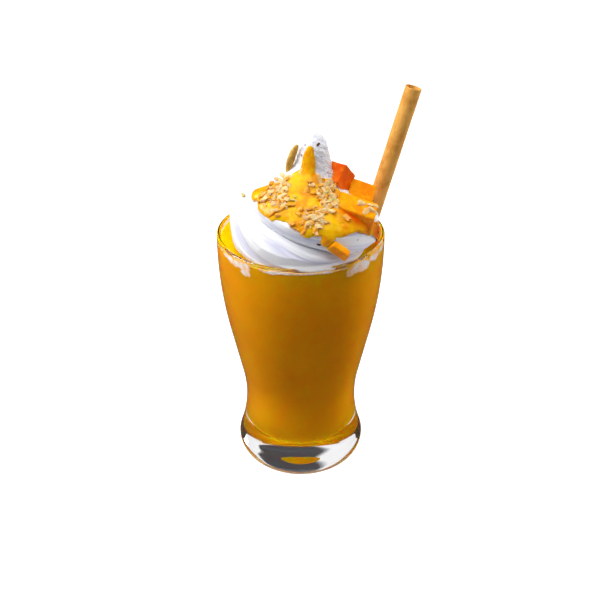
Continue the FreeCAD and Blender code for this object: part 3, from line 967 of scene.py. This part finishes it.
# Smallest and largest length, width and thickness, in millimetres
NUT_SIZES = {
    "nut_slivers": ((2.6, 6.4), (1.5, 3.4), (0.7, 1.3)),
    "coated_nuts": ((1.8, 4.8), (1.4, 3.0), (0.9, 1.6)),
    "nut_crumbs": ((0.7, 2.2), (0.6, 1.6), (0.5, 1.1)),
    "pistachio_bits": ((2.0, 3.6), (1.3, 2.0), (0.8, 1.3)),
    "spice_specks": ((0.4, 0.9), (0.3, 0.7), (0.2, 0.4)),
    "large_specks": ((1.4, 2.6), (0.9, 1.5), (0.5, 0.9)),
}
NUTS_UP_TO = 0.037           # no nuts on the peak, higher than this above the drink
# Single pieces: places near the cream's surface, or on the front piece of mango
LOOSE_NUTS = ((-8.5, -6.5, 34.5), (-10.5, -8, 33.2), (-5.5, -9.5, 35))
LOOSE_PISTACHIO = ((-27, -2.5, 23), (-27.5, -1, 22))
LOOSE_BITS = ((8, -6.4, 50.6), (7.9, -36.2, 13.4))
NUTS_ON_MANGO = ((33.4, -19, 22.4), (30.4, -20.6, 22.8), (33.6, -15.4, 23.2), (28.6, -16.2, 24.6))
PISTACHIO_PLACES = ((14.8, -20.5, 26.2, 2.2), (11, -16.5, 29.5, 2), (-4, -21.5, 29, 2))
GREEN_ON_SAUCE = 6
SPICE_TONES = ((96, 60, 34), (60, 38, 24), (140, 100, 70))


def heap_weight(grid, heaps, level):
    """How thickly things lie at each point of a grid, from heaps of (x, y, height, reach)."""
    flat = grid.reshape(-1, 3)
    weight = np.zeros(len(flat))
    for heap in heaps:
        away = np.linalg.norm(flat - above_drink(heap, level), axis=1)
        weight += np.exp(-(away / (heap[3] * MM)) ** 2 * 1.4)
    return weight.reshape(grid.shape[:2])


class MILKSHAKE_OT_nuts(bpy.types.Operator):
    """Scatter chopped nuts, pistachio, crumbs and spice"""
    bl_idname = "milkshake.nuts"
    bl_label = "Chopped nuts"

    def execute(self, context):
        settings = context.scene.milkshake
        p, c, level = settings.topping, settings.cream, settings.drink.level
        sauce = settings.sauce.body
        rng = random.Random(p.seed)

        def strew(name, spots, sink, tilt, material, smooth=True):
            points, faces = scatter(spots, rng, NUT_SIZES[name], sink, tilt)
            add_piece(name, points, faces, material, smooth=smooth)

        grid, field, normals = sauce_surface(settings)
        below_peak = smooth_step(field, -0.05, 0.12) * (grid[..., 2] < level + NUTS_UP_TO)
        heaps = heap_weight(grid, NUT_HEAPS, level)
        skin, height, azimuth = swirl_grid(c, level)
        ways = grid_normals(skin)
        skin = skin + ways * flow_relief(c, skin, height, azimuth)[0][..., None]

        nut = food_material("chopped_nut", (p.nut_pale, p.nut_rose, sauce), 0.0024, 0.0007, (0.7, 0.65))
        spots = pick_spots(grid, normals, heaps ** 2 * below_peak, p.slivers, rng, 0.0019)
        spots += [laid_on(skin, ways, place, level) for place in LOOSE_NUTS]
        spots += [(Vector(above_drink(place, level)), Vector((0.3, -0.4, 0.9))) for place in NUTS_ON_MANGO]
        strew("nut_slivers", spots, 0.15, 0.4, nut, smooth=False)

        coated = food_material("coated_nut", (p.glazed, p.nut_rose, sauce), 0.0030, 0.0009, (0.6, 0.35),
                               soft=0.2, rough=0.35, coat=0.1)
        spots = pick_spots(grid, normals, (heaps + 0.04) * below_peak, p.coated, rng, 0.0022)
        strew("coated_nuts", spots, 0.3, 0.4, coated)

        spots = pick_spots(grid, normals, heaps ** 2 * below_peak, p.crumbs, rng, 0.0010)
        strew("nut_crumbs", spots, 0.1, 0.6, nut, smooth=False)

        green = food_material("pistachio", (p.pistachio, p.nut_pale, p.kernel), 0.0016, 0.0007)
        greens = heap_weight(grid, PISTACHIO_PLACES, level)
        spots = pick_spots(grid, normals, greens, GREEN_ON_SAUCE, rng, 0.0022)
        spots += [laid_on(skin, ways, place, level) for place in LOOSE_PISTACHIO]
        strew("pistachio_bits", spots, 0.0, 0.4, green)

        tones = [linear(rgb) for rgb in SPICE_TONES]
        brown = food_material("spice", tones, 0.001, 0.0005)
        open_cream = (field < -0.25) * smooth_step(height, 1.0, 4.0) * (1 - smooth_step(height, 50.0, 53.0))
        spots = pick_spots(skin, ways, open_cream * np.ones_like(field), c.specks, rng, 0.002)
        points, faces = scatter(spots, rng, NUT_SIZES["spice_specks"], 0.1, 0.5)
        spots = [laid_on(skin, ways, place, level) for place in LOOSE_BITS]
        extra, extra_faces = scatter(spots, rng, NUT_SIZES["large_specks"], 0.3, 0.3)
        faces += [tuple(k + len(points) for k in f) for f in extra_faces]
        add_piece("spice_specks", points + extra, faces, brown)
        return {"FINISHED"}


# Cut mango: name, CAD node, size in millimetres, turns about X, Y and Z, and centre above the drink
MANGO_DICE = (
    ("mango_dice_top", "mango_cube_top", (9.6, 11.6, 12.6), (42, 2, -32), (18, -1.3, 31.4)),
    ("mango_dice_back", "mango_cube_back", (13.8, 11.4, 11.6), (32, 18, -4), (28.1, 0.6, 21.1)),
    ("mango_dice_front", "mango_cube_front", (21, 13, 10.6), (15, 17.5, -8), (25.2, -15.9, 20)),
    ("mango_sliver", "mango_chip", (11, 4.6, 4.4), (22, 38, 2), (17.5, -35.2, 10.3)),
)
RIPE_PIECES = ("mango_cube_top",)
MANGO_TAPER = 0.88
MANGO_ROUNDING = 0.0008
MANGO_STEPS = 28
# Dents in the cut faces: lumps in one metre, depth in metres, and the shift of the pattern
MANGO_DENTS = ((260, 0.00022, 0), (900, 0.00007, 2))


def rounded_block(size, taper, rounding, steps):
    """Points and faces of a block with rounded edges that narrows towards its top."""
    half = [value / 2 for value in size]
    numbers, points, faces = {}, [], []

    def corner(place):
        key = tuple(round(v * steps) for v in place)
        if key not in numbers:
            numbers[key] = len(points)
            inner = [max(-h + rounding, min(h - rounding, v * h)) for v, h in zip(place, half)]
            spot = Vector([v * h for v, h in zip(place, half)])
            way = spot - Vector(inner)
            if way.length > 1e-9:
                spot = Vector(inner) + way.normalized() * rounding
            narrow = 1 - (1 - taper) * (spot.z + half[2]) / size[2]
            points.append(Vector((spot.x * narrow, spot.y * narrow, spot.z)))
        return numbers[key]

    marks = [2 * k / steps - 1 for k in range(steps + 1)]
    for axis in range(3):
        for sign in (-1, 1):
            for a, a2 in zip(marks, marks[1:]):
                for b, b2 in zip(marks, marks[1:]):
                    ring = []
                    for u, v in ((a, b), (a2, b), (a2, b2), (a, b2)):
                        place = [0.0, 0.0, 0.0]
                        place[axis], place[(axis + 1) % 3], place[(axis + 2) % 3] = sign, u, v
                        ring.append(corner(place))
                    faces.append(tuple(ring if sign > 0 else ring[::-1]))
    return points, faces


class MILKSHAKE_OT_mango(bpy.types.Operator):
    """Cut the mango and lay it on the cream"""
    bl_idname = "milkshake.mango"
    bl_label = "Mango"

    def execute(self, context):
        settings = context.scene.milkshake
        p, level = settings.topping, settings.drink.level
        ripe = food_material("ripe_mango", (p.mango, p.mango_deep, p.mango_light), 0.009, 0.0012, (0.6, 0.35),
                             soft=0.3)
        pale = food_material("pale_mango", (p.mango_light, p.mango, settings.sauce.body), 0.009, 0.0012,
                             (0.55, 0.6), soft=0.3)
        for index, (name, node, size, turns, centre) in enumerate(MANGO_DICE):
            points, faces = rounded_block([v * MM for v in size], MANGO_TAPER, MANGO_ROUNDING, MANGO_STEPS)
            turn = Euler([math.radians(v) for v in turns], "XYZ").to_matrix().to_4x4()
            matrix = Matrix.Translation(Vector(above_drink(centre, level))) @ turn
            laid = []
            for point in points:
                dent = sum(noise.noise(point * lumps + Vector((index * 5, shift, 0))) * depth
                           for lumps, depth, shift in MANGO_DENTS)
                laid.append(matrix @ (point + point.normalized() * dent))
            flesh = ripe if node in RIPE_PIECES else pale
            add_piece(name, laid, faces, flesh, (node,))
        return {"FINISHED"}


# The nut sliver on the peak: half its length, width and thickness, its bow, and its lean in degrees
SLIVER_HALF = (0.0075, 0.0018, 0.0013)
SLIVER_BOW, SLIVER_LEAN = 0.0006, 18.0
SLIVER_RINGS, SLIVER_AROUND = 34, 20


def rounded_wave(value):
    """A cosine or sine made a little squarer."""
    return math.copysign(abs(value) ** 0.8, value)


class MILKSHAKE_OT_sliver(bpy.types.Operator):
    """Lean the nut sliver on the peak"""
    bl_idname = "milkshake.sliver"
    bl_label = "Nut sliver"

    def execute(self, context):
        p = context.scene.milkshake.topping
        low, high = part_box("nut_sliver")
        centre = (low + high) / 2
        long_half, wide, thick = SLIVER_HALF
        lean = Matrix.Rotation(math.radians(SLIVER_LEAN), 3, "Y")
        points, rings = [], []
        for k in range(1, SLIVER_RINGS):
            along = -math.cos(math.pi * k / SLIVER_RINGS)
            fat = (1 - along * along) ** 0.38

            def on_skin(turn):
                across = rounded_wave(math.cos(turn)) * wide * fat - SLIVER_BOW * (1 - along * along)
                spot = Vector((across, rounded_wave(math.sin(turn)) * thick * fat, along * long_half))
                spot += Vector((1, 1, 0)) * 0.00018 * noise.noise(spot * 420)
                return centre + lean @ spot
            rings.append(add_ring(points, SLIVER_AROUND, on_skin))
        ends = [add_ring(points, 1, lambda turn: centre + lean @ Vector((0, 0, sign * long_half)))
                for sign in (-1, 1)]
        faces = ring_faces([ends[0]] + rings + [ends[1]])
        skin = food_material("nut_kernel", (p.kernel, p.kernel_dark, p.nut_pale), 0.004, 0.0008, (0.8, 0.25),
                             stretch=(1, 1, 0.2))
        add_piece("nut_kernel", points, faces, skin, ("nut_sliver",))
        return {"FINISHED"}


STRAW_AROUND, STRAW_ROWS, STRAW_ROWS_INSIDE = 72, 260, 40
STRAW_EDGE = 0.00012         # round at the straw's ends
STRIP_STEP, STRIP_FUZZ = 0.00007, 0.00003


class MILKSHAKE_OT_straw(bpy.types.Operator):
    """Wind the paper straw and stand it in the drink"""
    bl_idname = "milkshake.straw"
    bl_label = "Paper straw"

    def execute(self, context):
        settings = context.scene.milkshake
        t, s = settings.tumbler, settings.straw
        side = tumbler_side(t)
        rim = t.height - t.wall / 2
        reach = s.radius + s.seat_clearance + t.wall / 2
        seat = (float(radius_inside(t, side, rim)) + t.wall / 2, rim)
        low, high = 0.0, math.radians(45)
        for _ in range(60):
            lean = (low + high) / 2
            foot_z = t.floor_height + s.radius * math.sin(lean)
            away = (seat[0] - s.foot_offset) * math.cos(lean) - (seat[1] - foot_z) * math.sin(lean)
            low, high = (lean, high) if away > reach else (low, lean)
        foot = polar(s.foot_offset, s.azimuth, foot_z)
        axis = polar(math.sin(lean), s.azimuth, math.cos(lean))
        matrix = Matrix.Translation(foot) @ axis.to_track_quat("Z", "Y").to_matrix().to_4x4()
        inner, long, edge = s.radius - s.wall, s.tube_length, STRAW_EDGE
        profile = [(inner, 0.0), (s.radius - edge, 0.0)]
        profile += [(s.radius, k * long / STRAW_ROWS) for k in range(1, STRAW_ROWS)]
        profile += [(s.radius, long - edge), (s.radius - edge, long)]
        profile += [(inner + edge, long), (inner, long - edge)]
        profile += [(inner, long * (1 - k / STRAW_ROWS_INSIDE)) for k in range(1, STRAW_ROWS_INSIDE)]
        points, rings = [], []
        for radius, height in profile + [(inner, 0.0)]:
            def on_paper(turn):
                own = radius
                if radius == s.radius:
                    lap = (height / s.turn_height - turn / (2 * math.pi)) % 1.0
                    fuzz = noise.noise(polar(2, turn, height * 700))
                    own += STRIP_STEP * (smooth_step(lap, 0.0, 0.03) - lap) + STRIP_FUZZ * fuzz - 0.00008
                return matrix @ polar(own, turn, height)
            rings.append(add_ring(points, STRAW_AROUND, on_paper))
        add_piece("paper_straw", points, ring_faces(rings), paper_material(s), ("straw",))
        return {"FINISHED"}


# ---- studio

CLOTH = (0.012, 0.014, 0.022, 1)
FLOOR_HALF, FLOOR_HEIGHT = 3.0, -0.0001
LAMP_SIZE, LAMP_AIM = 0.40, Vector((0.0, 0.0, 0.10))
ROOM_RADIUS, ROOM_HEIGHT, ROOM_SIDES = 1.3, 1.6, 24
TABLE_HOLE, TABLE_HEIGHT = 0.035, 0.0005
BACK_MIDDLE, BACK_HALF, BACK_FADE = 0.065, 0.20, 0.06
SIDE_RADIUS, SIDE_TURNS = 0.42, (58, 94, 130)


def matt_material(name, tone):
    """A plain matt material, its node tree and its shader."""
    material, tree, shader = tree_of(name)
    return material, tree, fill(tree, shader, Base_Color=tone, Roughness=0.9)


def fading_cloth(middle, half, soft):
    """Dark cloth that hangs across X and fades out at both sides."""
    material, tree, shader = matt_material("fading_cloth", CLOTH)
    across = add(tree, "ShaderNodeSeparateXYZ", {0: object_place(tree)}).outputs["X"]
    away = math_node(tree, "ABSOLUTE", math_node(tree, "SUBTRACT", across, middle))
    tree.links.new(stepped(tree, away, half - soft, half, 0.96, 0.0), shader.inputs["Alpha"])
    return material


def band(line, low, high, closed=False):
    """Corners and faces of a wall that stands along a line of (x, y), between two heights."""
    number = len(line)
    corners = [(x, y, z) for z in (low, high) for x, y in line]
    return corners, [(k, (k + 1) % number, (k + 1) % number + number, k + number)
                     for k in range(number if closed else number - 1)]


def circle(radius, degrees):
    """Points of a circle in the XY plane."""
    return [tuple(polar(radius, math.radians(turn)).xy) for turn in degrees]


def dark_card(name, corners, faces, material, seen_in):
    """Dark cloth that stands round the object, and is seen only in gloss or only through glass."""
    card = placed(name, mesh_of(name, corners, faces, material))
    card.visible_camera = card.visible_shadow = card.visible_diffuse = False
    card.visible_glossy = seen_in == "gloss"
    card.visible_transmission = seen_in == "glass"


def lamp(name, power, place, tone, glossy):
    """A square soft lamp that points at the object."""
    data = bpy.data.lights.new(name, "AREA")
    data.energy, data.size, data.color = power, LAMP_SIZE, tone
    made = placed(name, data)
    made.location = place
    made.rotation_euler = (LAMP_AIM - Vector(place)).to_track_quat("-Z", "Y").to_euler()
    made.visible_glossy = glossy


class MILKSHAKE_OT_studio(bpy.types.Operator):
    """Set up the floor, the lamps, the surroundings and the camera"""
    bl_idname = "milkshake.studio"
    bl_label = "Studio"

    def execute(self, context):
        s = context.scene.milkshake.studio
        material, tree, shader = matt_material("floor", (0.60, 0.60, 0.62, 1))
        path = add(tree, "ShaderNodeLightPath")
        seen = math_node(tree, "MULTIPLY", path.outputs["Is Camera Ray"], 0.8)
        fill(tree, shader, Specular_IOR_Level=0.0, Emission_Color=(1, 1, 1, 1), Emission_Strength=seen)
        ends = ((-FLOOR_HALF, -FLOOR_HALF), (FLOOR_HALF, -FLOOR_HALF), (FLOOR_HALF, FLOOR_HALF),
                (-FLOOR_HALF, FLOOR_HALF))
        corners = [(x, y, FLOOR_HEIGHT) for x, y in ends]
        placed("floor", mesh_of("floor", corners, [(0, 1, 2, 3)], material))
        lamp("key_lamp", s.key, (-0.60, 0.02, 0.52), (1.0, 0.99, 0.96), True)
        lamp("rim_lamp", s.rim, (0.64, 0.26, 0.30), (1.0, 0.98, 0.96), False)
        lamp("top_lamp", s.top, (-0.10, -0.10, 0.80), (0.98, 0.98, 1.0), False)

        cloth = matt_material("dark_cloth", CLOTH)[0]
        turns = [360 * k / ROOM_SIDES for k in range(ROOM_SIDES)]
        walls, sides = band(circle(ROOM_RADIUS, turns), 0.0, ROOM_HEIGHT, closed=True)
        dark_card("dark_walls", walls, sides, cloth, "gloss")
        edges = circle(TABLE_HOLE, turns) + circle(ROOM_RADIUS, turns)
        table = [(x, y, TABLE_HEIGHT) for x, y in edges]
        dark_card("dark_table", table, sides, cloth, "gloss")
        back = [(BACK_MIDDLE - BACK_HALF, 0.5), (BACK_MIDDLE + BACK_HALF, 0.5)]
        fading = fading_cloth(BACK_MIDDLE, BACK_HALF, BACK_FADE)
        dark_card("back_card", *band(back, 0.01, 1.2), fading, "glass")
        dark_card("front_card", *band([(-0.9, -0.9), (0.9, -0.9)], 0.01, 1.3), cloth, "glass")
        for name, towards in (("right_card", -1), ("left_card", 1)):
            line = circle(SIDE_RADIUS, [90 + towards * turn for turn in SIDE_TURNS])
            dark_card(name, *band(line, 0.001, 1.0), cloth, "glass")

        world = bpy.data.worlds.get("surroundings") or bpy.data.worlds.new("surroundings")
        context.scene.world = world
        world.use_nodes = True
        tree = world.node_tree
        tree.nodes.clear()
        path = add(tree, "ShaderNodeLightPath")
        shown = math_node(tree, "MAXIMUM", path.outputs["Is Glossy Ray"], path.outputs["Is Transmission Ray"])
        seen = math_node(tree, "MAXIMUM", path.outputs["Is Camera Ray"], shown)
        strength = add(tree, "ShaderNodeMapRange", {"Value": seen, "To Min": s.sky, "To Max": 1.0})
        tone = mixed(tree, seen, (0.90, 0.93, 1.0, 1), (1, 1, 1, 1))
        back = add(tree, "ShaderNodeBackground", {"Color": tone, "Strength": strength.outputs["Result"]})
        output = tree.nodes.new("ShaderNodeOutputWorld")
        tree.links.new(back.outputs[0], output.inputs["Surface"])

        data = bpy.data.cameras.get("camera") or bpy.data.cameras.new("camera")
        data.sensor_width, data.lens = 36.0, s.focal
        camera = bpy.data.objects.get("camera") or bpy.data.objects.new("camera", data)
        if camera.name not in context.scene.collection.objects:
            context.scene.collection.objects.link(camera)
        target = Vector((-s.side_step, 0, s.aim_height))
        camera.location = target + Vector((0, -math.cos(s.elevation), math.sin(s.elevation))) * s.distance
        camera.rotation_euler = (target - camera.location).to_track_quat("-Z", "Y").to_euler()
        context.scene.camera = camera
        context.scene.view_settings.view_transform = "Standard"
        return {"FINISHED"}


# ---- add-on

PIECES = (MILKSHAKE_OT_tumbler, MILKSHAKE_OT_drink, MILKSHAKE_OT_cream, MILKSHAKE_OT_smears,
          MILKSHAKE_OT_sauce, MILKSHAKE_OT_nuts, MILKSHAKE_OT_mango, MILKSHAKE_OT_sliver, MILKSHAKE_OT_straw)


class MILKSHAKE_PT_panel(bpy.types.Panel):
    """Buttons that build the milkshake piece by piece"""
    bl_idname = "MILKSHAKE_PT_panel"
    bl_label = "Mango milkshake"
    bl_space_type = "VIEW_3D"
    bl_region_type = "UI"
    bl_category = "Milkshake"

    def draw(self, context):
        for operator in PIECES + (MILKSHAKE_OT_studio,):
            self.layout.operator(operator.bl_idname)
        settings = context.scene.milkshake
        for group in MilkshakeSettings.__annotations__:
            box = self.layout.box()
            box.label(text=group.capitalize())
            chosen = getattr(settings, group)
            for name in chosen.__annotations__:
                box.prop(chosen, name)


CLASSES = (TumblerSettings, DrinkSettings, CreamSettings, SauceSettings, ToppingSettings, StrawSettings,
           StudioSettings, MilkshakeSettings) + PIECES + (MILKSHAKE_OT_studio, MILKSHAKE_PT_panel)


def register():
    for kind in CLASSES:
        bpy.utils.register_class(kind)
    bpy.types.Scene.milkshake = PointerProperty(type=MilkshakeSettings)


def unregister():
    del bpy.types.Scene.milkshake
    for kind in reversed(CLASSES):
        bpy.utils.unregister_class(kind)


def main():
    """Register, and build every piece and the studio."""
    register()
    for operator in (MILKSHAKE_OT_studio,) + PIECES:
        group, name = operator.bl_idname.split(".")
        getattr(getattr(bpy.ops, group), name)()


if __name__ == "__main__":
    main()
